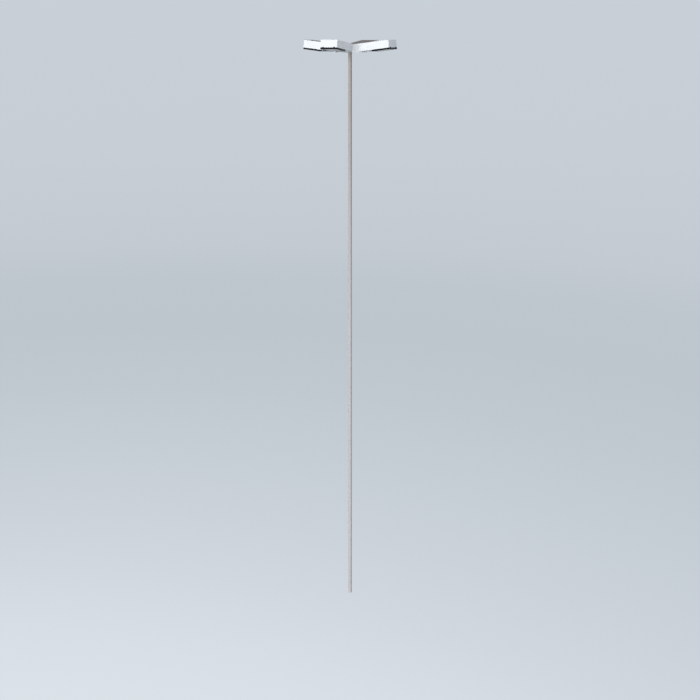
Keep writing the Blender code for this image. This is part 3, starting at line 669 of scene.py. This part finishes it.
HOUSING_LOW, HOUSING_HIGH = span("housing")
DOOR_LOW, DOOR_HIGH = span("door_frame")
COVER_LOW, COVER_HIGH = span("top_cover")
BOWL_LOW, BOWL_HIGH = span("reflector")
LAMP_LOW, LAMP_HIGH = span("lamp")
LATCH_LOW, LATCH_HIGH = span("latch_a")
PIN_LOW, PIN_HIGH = span("hinge_pin")
LAMP_AXIS = (LAMP_LOW.z + LAMP_HIGH.z) / 2
LAMP_RADIUS = (LAMP_HIGH.z - LAMP_LOW.z) / 2
BAY_START = LAMP_LOW.x

COVER_EDGE = 0.0012
COVER_CORNER = 0.004
COVER_BORDER = 0.024
COVER_PRESSING = 0.0012
BEADS = 9
BEAD_GAP = 0.012  # from a bead's end to the border
BEAD_HALF_WIDTH = 0.005
BEAD_RISE = 0.0011
COVER_SCREW = 0.0042
RIVET = 0.0036
RIVET_INSET = 0.014  # from the housing's ends
RIVET_LEVELS = (-0.044, 0.0, 0.044)
DIVIDER_INSET = 0.0018  # from the lamp bay's start to the middle of the divider
LEDGE_RISE = 0.006  # the door's ledge for the glass, above the door's underside
CLIP_INSET = 0.080  # from the door's ends
CLIP_EDGE_INSET = 0.0165
CLIP_HALF = Vector((0.007, 0.0085))
CLIP_THICKNESS = 0.0013
CLIP_SCREW = 0.0032


def cover_plate():
    """A plate with soft edges and a pressed field, and stiffening beads across the field."""
    shape = Shape()
    top = COVER_HIGH.z
    steps = [(0.0, COVER_LOW.z), (0.0, top - COVER_EDGE), (COVER_EDGE * 0.3, top - COVER_EDGE * 0.3),
             (COVER_EDGE, top), (COVER_BORDER, top), (COVER_BORDER + 0.001, top - COVER_PRESSING * 0.3),
             (COVER_BORDER + 0.003, top - COVER_PRESSING)]
    rings = []
    for inset, z in steps:
        corner = COVER_CORNER + (inset >= COVER_BORDER) * inset
        rings.append([(x, y, z) for x, y in rounded(COVER_LOW, COVER_HIGH, corner, inset)])
    shape.loft(rings)
    field_x = (COVER_LOW.x + COVER_BORDER, COVER_HIGH.x - COVER_BORDER)
    reach = COVER_HIGH.y - COVER_BORDER - BEAD_GAP
    for i in range(BEADS):
        x = field_x[0] + (field_x[1] - field_x[0]) * (i + 1) / (BEADS + 1)
        profile = []
        for step in range(13):
            turn = math.pi * (step / 12 - 0.5)
            profile.append((math.copysign(reach - BEAD_HALF_WIDTH, turn) + BEAD_HALF_WIDTH * math.sin(turn),
                            BEAD_HALF_WIDTH * max(math.cos(turn), 0.01)))
        flat = Matrix.Diagonal((1, 1, BEAD_RISE / BEAD_HALF_WIDTH, 1))
        shape.turned(profile, at(x, 0, top - COVER_PRESSING, flat @ ALONG_Y), 16)
    return shape.mesh("top_plate")


def cover_screws():
    """Screws along both edges of a head's top cover."""
    shape = Shape()
    inset = COVER_BORDER / 2
    middle = (COVER_LOW.x + COVER_HIGH.x) / 2
    for x in (COVER_LOW.x + inset, middle, COVER_HIGH.x - inset):
        for y in (COVER_LOW.y + inset, COVER_HIGH.y - inset):
            shape.screw(at(x, y, COVER_HIGH.z - 0.0004, ALONG_Z), COVER_SCREW)
    return shape.mesh("cover_screws")


def housing_rivets():
    """Rivets that hold the bay's divider and the two end pieces, painted over with the housing."""
    shape = Shape()
    for x in (HOUSING_LOW.x + RIVET_INSET, BAY_START - DIVIDER_INSET, HOUSING_HIGH.x - RIVET_INSET):
        for z in RIVET_LEVELS:
            for sign in (1, -1):
                turn = Matrix.Rotation(sign * math.pi / 2, 4, "Z")
                shape.rivet(at(x, sign * (HOUSING_HIGH.y - 0.0002), z, turn), RIVET)
    return shape.mesh("housing_rivets")


def lens_clips():
    """Spring clips on the door frame's inner ledge that press the glass down, each under its own screw."""
    clips, screws = Shape(), Shape()
    ledge = DOOR_LOW.z + LEDGE_RISE
    for x in (DOOR_LOW.x + CLIP_INSET, (DOOR_LOW.x + DOOR_HIGH.x) / 2, DOOR_HIGH.x - CLIP_INSET):
        for sign in (1, -1):
            edge = sign * (DOOR_HIGH.y - CLIP_EDGE_INSET)
            low = (x - CLIP_HALF.x, edge - CLIP_HALF.y, ledge + 0.0001)
            clips.box(low, (x + CLIP_HALF.x, edge + CLIP_HALF.y, ledge + CLIP_THICKNESS), 0.0008)
            screws.screw(at(x, edge, ledge + CLIP_THICKNESS, ALONG_Z), CLIP_SCREW)
    return clips.mesh("lens_clips"), screws.mesh("lens_clip_screws")


def reflector_bowl():
    """A deep bowl in pleated bright sheet, with a flat rim and a hole for the lamp's neck."""
    shape = Shape()
    sheet = 0.0012
    depth = BOWL_HIGH.z - BOWL_LOW.z
    rim = 0.004
    pleat = 0.0011
    levels = 10
    neck_radius = 0.0225
    neck_length = 0.110
    rings = []

    def ring(share, out, z):
        """The bowl's outline at a share of its depth, drawn in along a round flank."""
        draw = 0.055 * (1 - math.cos(share * math.pi / 2)) + 0.012 * share
        low = Vector((BOWL_LOW.x + rim + draw, BOWL_LOW.y + rim + draw))
        high = Vector((BOWL_HIGH.x - rim - draw, BOWL_HIGH.y - rim - draw))
        outline = rounded(low - Vector((out, out)), high + Vector((out, out)), 0.018 + 0.02 * share, 0.0, 8)
        return [(x, y, z) for x, y in densified(outline, pleat * math.sin(math.pi * share))]

    rings.append(ring(0.0, rim, BOWL_LOW.z))
    for i in range(levels + 1):
        share = i / levels
        rings.append(ring(share, 0.0, BOWL_LOW.z + (depth - sheet) * math.sin(share * math.pi / 2)))
    for i in range(levels, -1, -1):
        share = i / levels
        rings.append(ring(share, sheet, BOWL_LOW.z + sheet + (depth - sheet) * math.sin(share * math.pi / 2)))
    rings.append(ring(0.0, rim, BOWL_LOW.z + sheet))
    shape.loft(rings, capped=False)
    closed_bowl(shape, rings)
    neck_ends = [(BAY_START, neck_radius), (BAY_START + neck_length, neck_radius)]
    neck = Shape().turned(neck_ends, at(0, 0, LAMP_AXIS), 32)
    return carved(shape.mesh("reflector_bowl"), [neck.mesh("neck")])


def densified(outline, pleat):
    """The outline in short equal steps, every other one pushed out by the pleat's depth."""
    points = [Vector(point) for point in outline]
    lengths = [(b - a).length for a, b in zip(points, points[1:] + points[:1])]
    total = sum(lengths)
    count = 96
    walk = []
    for k in range(count):
        goal = total * k / count
        i = 0
        while goal > lengths[i]:
            goal -= lengths[i]
            i += 1
        start, end = points[i], points[(i + 1) % len(points)]
        spot = start.lerp(end, goal / lengths[i])
        ahead = (end - start).normalized()
        outward = Vector((ahead.y, -ahead.x))
        walk.append(spot + outward * (pleat if k % 2 else 0.0))
    return walk


def closed_bowl(shape, rings):
    """Caps a bowl's inner and outer bottoms, and joins the two edges of its rim."""
    shape.bm.verts.ensure_lookup_table()
    count = len(rings[0])
    rows = [shape.bm.verts[i * count:(i + 1) * count] for i in range(len(rings))]
    middle = len(rings) // 2
    seam = [face for face in shape.bm.faces
            if all(vertex in rows[middle - 1] or vertex in rows[middle] for vertex in face.verts)]
    bmesh.ops.delete(shape.bm, geom=seam, context="FACES")
    shape.bm.faces.new(rows[middle - 1])
    shape.bm.faces.new(rows[middle])
    for i in range(count):
        j = (i + 1) % count
        shape.bm.faces.new((rows[0][i], rows[0][j], rows[-1][j], rows[-1][i]))


HOLDER_LENGTH = 0.050
HOLDER_RADIUS = 0.0215
THREAD_RADIUS = 0.0186
THREAD_DEPTH = 0.0007
THREAD_TURNS = 6
THREAD_ENDS = (0.018, 0.064)  # from the lamp's inner end
BULB_START = 0.078  # from the lamp's inner end
BULB_NECK = 0.0165
GLASS = 0.0011
LAMP_SIDES = 36
ARC_ENDS = (0.118, 0.180)  # from the lamp's inner end
FRAME_WIRE = 0.0007
STEM_WIRE = 0.0009
SPRING_RING = 0.0040
SPRING_WIRE = 0.0006
LATCH_RIVET_APART = 0.0090  # from the latch's middle
LATCH_RIVET_SINK = 0.0071  # from the latch's outermost face to the face that holds the rivets


def lamp_holder():
    """A porcelain holder: a ribbed cup."""
    shape = Shape()
    profile = [(0, 0), (0, HOLDER_RADIUS), (0.004, HOLDER_RADIUS), (0.006, HOLDER_RADIUS - 0.0015)]
    for i in range(4):
        x = 0.012 + i * 0.008
        profile += [(x, HOLDER_RADIUS - 0.0015), (x + 0.001, HOLDER_RADIUS - 0.0004),
                    (x + 0.003, HOLDER_RADIUS - 0.0004), (x + 0.004, HOLDER_RADIUS - 0.0015)]
    profile += [(HOLDER_LENGTH - 0.002, HOLDER_RADIUS - 0.0015), (HOLDER_LENGTH, HOLDER_RADIUS - 0.0022),
                (HOLDER_LENGTH, THREAD_RADIUS + 0.0004), (0.010, THREAD_RADIUS + 0.0004), (0.010, 0)]
    return shape.turned(profile, at(BAY_START, 0, LAMP_AXIS), LAMP_SIDES).mesh("lamp_holder")


def lamp_base():
    """The lamp's screw base."""
    start, end = THREAD_ENDS
    root = THREAD_RADIUS - THREAD_DEPTH
    skirt = BULB_NECK + 0.0006
    profile = [(0.012, 0), (0.012, 0.006), (0.015, 0.0135), (start, root)]
    pitch = (end - start) / THREAD_TURNS
    for i in range(THREAD_TURNS):
        x = start + pitch * i
        profile += [(x + pitch * 0.3, THREAD_RADIUS), (x + pitch * 0.5, THREAD_RADIUS),
                    (x + pitch * 0.8, root), (x + pitch, root)]
    profile += [(0.070, skirt), (BULB_START, skirt), (BULB_START, 0)]
    return Shape().turned(profile, at(BAY_START, 0, LAMP_AXIS), LAMP_SIDES).mesh("lamp_base")


def bulb_profile(skin):
    """The bulb's (x, radius) points at a depth below its outside: a neck that swells to a round end."""
    length = LAMP_HIGH.x - LAMP_LOW.x - BULB_START
    swell = 0.42
    points = []
    for i in range(25):
        share = i / 24
        if share < swell:
            ease = share / swell
            radius = BULB_NECK + (LAMP_RADIUS - BULB_NECK) * ease * ease * (3 - 2 * ease)
        else:
            radius = LAMP_RADIUS * math.sqrt(max(0.0, 1 - ((share - swell) / (1 - swell)) ** 2.4))
        points.append((BULB_START + (length - skin) * share, max(radius - skin, 0.0)))
    return points


def lamp_bulb():
    """A blown shell, open into the base."""
    outside, inside = bulb_profile(0.0), bulb_profile(GLASS)
    shape = Shape().turned(outside + inside[::-1], at(BAY_START, 0, LAMP_AXIS), LAMP_SIDES)
    caps = [face for face in shape.bm.faces if len(face.verts) > 4]
    bmesh.ops.delete(shape.bm, geom=caps, context="FACES")
    shape.bm.verts.ensure_lookup_table()
    first, last = shape.bm.verts[:LAMP_SIDES], shape.bm.verts[-LAMP_SIDES:]
    for i in range(LAMP_SIDES):
        j = (i + 1) % LAMP_SIDES
        shape.bm.faces.new((first[i], last[i], last[j], first[j]))
    return shape.mesh("lamp_bulb")


def arc_tube():
    """The quartz arc tube on its frame wire, and the metal ends of both."""
    glass, metal = Shape(), Shape()
    place = at(BAY_START, 0, LAMP_AXIS)
    start, end = ARC_ENDS
    glass.turned([(start, 0.0), (start, 0.0035), (start + 0.006, 0.0045), (start + 0.012, 0.0085),
                  (end - 0.012, 0.0085), (end - 0.006, 0.0045), (end, 0.0035), (end, 0.0)], place, 24)
    for x in (start, end):
        metal.turned([(x - 0.005, 0), (x - 0.005, 0.0042), (x + 0.0045, 0.0048), (x + 0.0045, 0)], place, 16)
    neck, tip = BULB_START + 0.002, end + 0.013
    for sign in (1, -1):
        bends = [(neck, 0), (0.095, 0.008), (0.108, 0.015), (end - 0.004, 0.015), (end + 0.010, 0.007),
                 (tip, 0)]
        metal.tube([place @ Vector((x, sign * y, 0)) for x, y in bends], FRAME_WIRE, 8)
    for stem in ((neck, start - 0.004), (end + 0.004, tip)):
        metal.tube([place @ Vector((x, 0, 0)) for x in stem], STEM_WIRE, 8)
    return glass.mesh("arc_tube"), metal.mesh("arc_tube_frame")


def hinge_parts():
    """The hinge pin with rounded ends, and a spring ring outside each ear."""
    pin, rings = Shape(), Shape()
    radius = (PIN_HIGH.z - PIN_LOW.z) / 2
    middle = (PIN_LOW + PIN_HIGH) / 2
    reach = (PIN_HIGH.y - PIN_LOW.y) / 2
    profile = [(-reach, 0), (-reach, radius * 0.6), (-reach + 0.0008, radius), (reach - 0.0008, radius),
               (reach, radius * 0.6), (reach, 0)]
    pin.turned(profile, at(middle.x, 0, middle.z, ALONG_Y), 20)
    for sign in (1, -1):
        points = []
        for i in range(21):
            angle = math.radians(30 + 300 * i / 20)
            points.append((middle.x + SPRING_RING * math.cos(angle), sign * (reach - 0.0018),
                           middle.z + SPRING_RING * math.sin(angle)))
        rings.tube(points, SPRING_WIRE, 8)
    return pin.mesh("hinge_pin"), rings.mesh("hinge_rings")


def latch_rivets(sign):
    """Two small rivets in the face of a latch."""
    y = sign * (LATCH_LOW.y + LATCH_HIGH.y) / 2
    z = DOOR_LOW.z + (DOOR_HIGH.z - DOOR_LOW.z) / 2
    shape = Shape()
    face = LATCH_HIGH.x - LATCH_RIVET_SINK
    for side in (1, -1):
        shape.turned([(face, 0.0), (face, 0.0017), (face + 0.0009, 0.0015), (face + 0.0012, 0.0)],
                     at(0, y + side * LATCH_RIVET_APART, z, ALONG_X), 16)
    return shape.mesh("latch_rivets")


HEAD_EDGES = {  # CAD parts that are shown with softened edges, and how widely
    "housing": 0.0010, "door_frame": 0.0008, "lens": 0.0006, "lens_gasket": 0.0030,
    "tilt_yoke": 0.0010, "pivot_bolt": 0.0006, "ballast": 0.0015}
LATCH_EDGE = 0.0007


def build_heads():
    """Makes each mesh once, and shows it at all four heads."""
    clips, clip_screws = lens_clips()
    arc_glass, arc_metal = arc_tube()
    pin, pin_rings = hinge_parts()
    plate, screws, rivets, bowl = cover_plate(), cover_screws(), housing_rivets(), reflector_bowl()
    holder, base, bulb = lamp_holder(), lamp_base(), lamp_bulb()
    rivets_on_latch = {"a": latch_rivets(1), "b": latch_rivets(-1)}
    for side in SIDES:
        place = HEAD_FRAMES[side]
        head, door = side + "_head", side + "_door"
        for part, width in HEAD_EDGES.items():
            softened(side + "_" + part, width)
        show(side + "_rivets", rivets, head, "housing_paint", place=place)
        show(side + "_top_plate", plate, head, "cover_anodised", side + "_top_cover", place=place)
        show(side + "_cover_screws", screws, head, "zinc_steel", place=place)
        show(side + "_reflector_bowl", bowl, head, "reflector_aluminium", side + "_reflector", place=place)
        show(side + "_lamp_bulb", bulb, head, "lamp_glass", side + "_lamp", place=place)
        show(side + "_lamp_holder", holder, head, "lamp_glass", look=PORCELAIN, place=place)
        show(side + "_lamp_base", base, head, "zinc_steel", look=LAMP_BASE_METAL, place=place)
        show(side + "_arc_tube", arc_glass, head, "lamp_glass", place=place)
        show(side + "_arc_tube_frame", arc_metal, head, "zinc_steel", look=MOLYBDENUM, place=place)
        show(side + "_hinge_pin_turned", pin, head, "zinc_steel", side + "_hinge_pin", place=place)
        show(side + "_hinge_rings", pin_rings, head, "zinc_steel", place=place)
        show(side + "_lens_clips", clips, door, "zinc_steel", place=place)
        show(side + "_lens_clip_screws", clip_screws, door, "zinc_steel", place=place)
        for letter, mesh in rivets_on_latch.items():
            latch = f"{side}_latch_{letter}"
            softened(latch, LATCH_EDGE)
            show(latch + "_rivets", mesh, latch, "zinc_steel", place=place)


# Pole

CANOPY_HIGH = Vector(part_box("canopy")[1])
CAP_HIGH = Vector(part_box("canopy_cap")[1])
CAP_SHEET = 0.0032  # the cap's thickness over the canopy's rim
CAP_EDGE = 0.1465  # from the middle to its edge screws
CAP_SCREW_APART = 0.110
CAP_SCREW = 0.0040
WEDGE_SCREW_INSET = 0.046  # from the canopy's ends
WEDGE_SCREW = 0.0034
CAP_CENTRE_SCREW = 0.0055
TUBE_WALL = 0.003
TUBE_CORNER = 0.0042
TUBE_EDGE = 0.0006
WINDOW_SIZE = Vector((0.030, 0.10))  # the handhole's width and height
WINDOW_CORNER = 0.006
SEAM_STEPS = 240
SEAM_HALF = 0.0018
SEAM_RISE = 0.00035
SEAM_INSET = 0.002  # from the tube's ends
SET_SCREW = 0.0050
SET_SCREW_DROPS = (0.035, 0.085)  # below the pole's top
PLATE_CORNER = 0.008
COVER_NEAR, COVER_FAR = (Vector(corner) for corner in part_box("handhole_cover"))
SCREW_NEAR, SCREW_FAR = (Vector(corner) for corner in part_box("handhole_screw"))
FUSE_NEAR, FUSE_FAR = (Vector(corner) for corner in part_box("fuse_holder"))


def pole_tube():
    """The tube with finely rounded corners and soft ends; the handhole is cut in it."""
    soft_end = [(0.0, TUBE_EDGE), (TUBE_EDGE * 0.3, TUBE_EDGE * 0.3), (TUBE_EDGE, 0.0)]
    stations = soft_end + [(POLE_HEIGHT - z, inset) for z, inset in soft_end[::-1]]
    stations += [(POLE_HEIGHT, TUBE_WALL), (0.0, TUBE_WALL), stations[0]]
    low, high = (-POLE_HALF, -POLE_HALF), (POLE_HALF, POLE_HALF)
    rings = [[(x, y, z) for x, y in rounded(low, high, TUBE_CORNER, inset, 8)] for z, inset in stations]
    tube = Shape().loft(rings, capped=False)
    middle = (COVER_NEAR.z + COVER_FAR.z) / 2
    low = (-WINDOW_SIZE.x / 2, middle - WINDOW_SIZE.y / 2)
    high = (WINDOW_SIZE.x / 2, middle + WINDOW_SIZE.y / 2)
    window = Shape().loft([[(x, y, z) for x, z in rounded(low, high, WINDOW_CORNER, 0.0, 6)]
                           for y in (0.0, POLE_HALF + 0.01)])
    return carved(tube.mesh("pole_tube"), [window.mesh("window")])


def weld_seam():
    """The tube's closing weld, a low bead up the left face, with the ripples of its making."""
    rings = []
    root = -POLE_HALF + 0.0008
    for i in range(SEAM_STEPS + 1):
        z = SEAM_INSET + (POLE_HEIGHT - 2 * SEAM_INSET) * i / SEAM_STEPS
        swell = 1 + 0.12 * math.sin(i * 2.4) + 0.08 * math.sin(i * 5.1)
        ring = []
        for k in range(7):
            angle = math.pi * k / 6
            x = -POLE_HALF - SEAM_RISE * swell * math.sin(angle) + 0.0001
            ring.append((x, SEAM_HALF * swell * math.cos(angle), z))
        ring += [(root, -SEAM_HALF, z), (root, SEAM_HALF, z)]
        rings.append(ring)
    return Shape().loft(rings).mesh("weld_seam")


def set_screws():
    """Two rows of socket screws that clamp the hub's plug in the pole's top."""
    shape = Shape()
    for drop in SET_SCREW_DROPS:
        for quarter in range(4):
            turn = Matrix.Rotation(quarter * math.pi / 2, 4, "Z")
            shape.screw(turn @ at(POLE_HALF - 0.0003, 0, POLE_HEIGHT - drop), SET_SCREW, washer=False)
    return shape.mesh("set_screws")


def handhole_plate():
    """The handhole's cover, a plate with a raised pressed field, and the thin seal under it."""
    plate, seal = Shape(), Shape()
    low = (COVER_NEAR.x, COVER_NEAR.z)
    high = (COVER_FAR.x, COVER_FAR.z)
    back, front = COVER_NEAR.y, COVER_FAR.y
    steps = [(0.0, back + 0.0006), (0.0, front - 0.0016), (0.0003, front - 0.0012), (0.0009, front - 0.0010),
             (0.0060, front - 0.0010), (0.0068, front - 0.0006), (0.0080, front)]
    plate.loft([[(x, y, z) for x, z in rounded(low, high, PLATE_CORNER, inset, 6)] for inset, y in steps])
    seal.loft([[(x, y, z) for x, z in rounded(low, high, PLATE_CORNER, inset, 6)]
               for inset, y in ((0.0008, back - 0.0002), (0.0008, back + 0.0006))])
    return plate.mesh("handhole_plate"), seal.mesh("handhole_seal")


def handhole_bolt():
    """The bolt through the handhole's cover."""
    middle = (SCREW_NEAR + SCREW_FAR) / 2
    radius = (SCREW_FAR.x - SCREW_NEAR.x) / 2
    shape = Shape()
    shape.turned([(SCREW_NEAR.y, 0), (SCREW_NEAR.y, 0.0020), (SCREW_NEAR.y + 0.0006, 0.0024),
                  (COVER_FAR.y, 0.0024), (COVER_FAR.y, 0)], at(0, 0, middle.z, ALONG_Y), 16)
    shape.screw(at(0, COVER_FAR.y - 0.0002, middle.z, ALONG_Y), radius * 0.72)
    return shape.mesh("handhole_bolt")


def fuse_body():
    """An in-line fuse holder: two ribbed halves screwed together, with a boot at each end."""
    middle = (FUSE_NEAR.z + FUSE_FAR.z) / 2
    half = (FUSE_FAR.z - FUSE_NEAR.z) / 2
    radius = (FUSE_FAR.x - FUSE_NEAR.x) / 2 - 0.002
    profile = [(-half, 0), (-half, 0.0066), (-half + 0.002, 0.0072), (-half + 0.016, 0.0085),
               (-half + 0.020, radius)]
    for i in range(7):
        x = -half + 0.024 + i * 0.0036
        profile += [(x, radius), (x + 0.0006, radius - 0.0008), (x + 0.0018, radius - 0.0008),
                    (x + 0.0024, radius)]
    profile += [(-0.003, radius), (-0.003, radius + 0.002, 6), (0.003, radius + 0.002, 6)]
    mirrored = [(-point[0], *point[1:]) for point in profile[:-2]][::-1]
    return Shape().turned(profile + mirrored, at(0, 0, middle, ALONG_Z), 36).mesh("fuse_body")


def canopy_screws():
    """Screws along the canopy's four edges and over its corner wedges, and one in the middle of its cap."""
    shape = Shape()
    top = CANOPY_HIGH.z + CAP_SHEET
    wedge = CANOPY_HIGH.x - WEDGE_SCREW_INSET
    for quarter in range(4):
        turn = Matrix.Rotation(quarter * math.pi / 2, 4, "Z")
        for y in (-CAP_SCREW_APART, CAP_SCREW_APART):
            shape.screw(turn @ at(CAP_EDGE, y, top, ALONG_Z), CAP_SCREW)
        shape.screw(turn @ at(wedge, wedge, top, ALONG_Z), WEDGE_SCREW)
    shape.screw(at(0, 0, CAP_HIGH.z - 0.0001, ALONG_Z), CAP_CENTRE_SCREW)
    return shape.mesh("canopy_screws")


def build_pole():
    softened("hub_casting", 0.0015)
    softened("canopy", 0.0010)
    softened("canopy_cap", 0.0012)
    show("pole_tube", pole_tube(), "pole", "pole_paint", "pole_shaft")
    show("weld_seam", weld_seam(), "pole", "pole_paint")
    show("pole_set_screws", set_screws(), "pole", "stainless_steel")
    plate, seal = handhole_plate()
    show("handhole_plate", plate, "pole", "pole_paint", "handhole_cover")
    show("handhole_seal", seal, "pole", "gasket_rubber")
    show("handhole_bolt", handhole_bolt(), "pole", "stainless_steel", "handhole_screw")
    show("fuse_body", fuse_body(), "pole", "cable_plastic", "fuse_holder")
    show("canopy_screws", canopy_screws(), "pole", "zinc_steel")


for each in NODES:
    dress(each)
add_camera()
build_heads()
build_pole()
add_stage()
add_lights()
bpy.context.scene.view_settings.view_transform = "Standard"
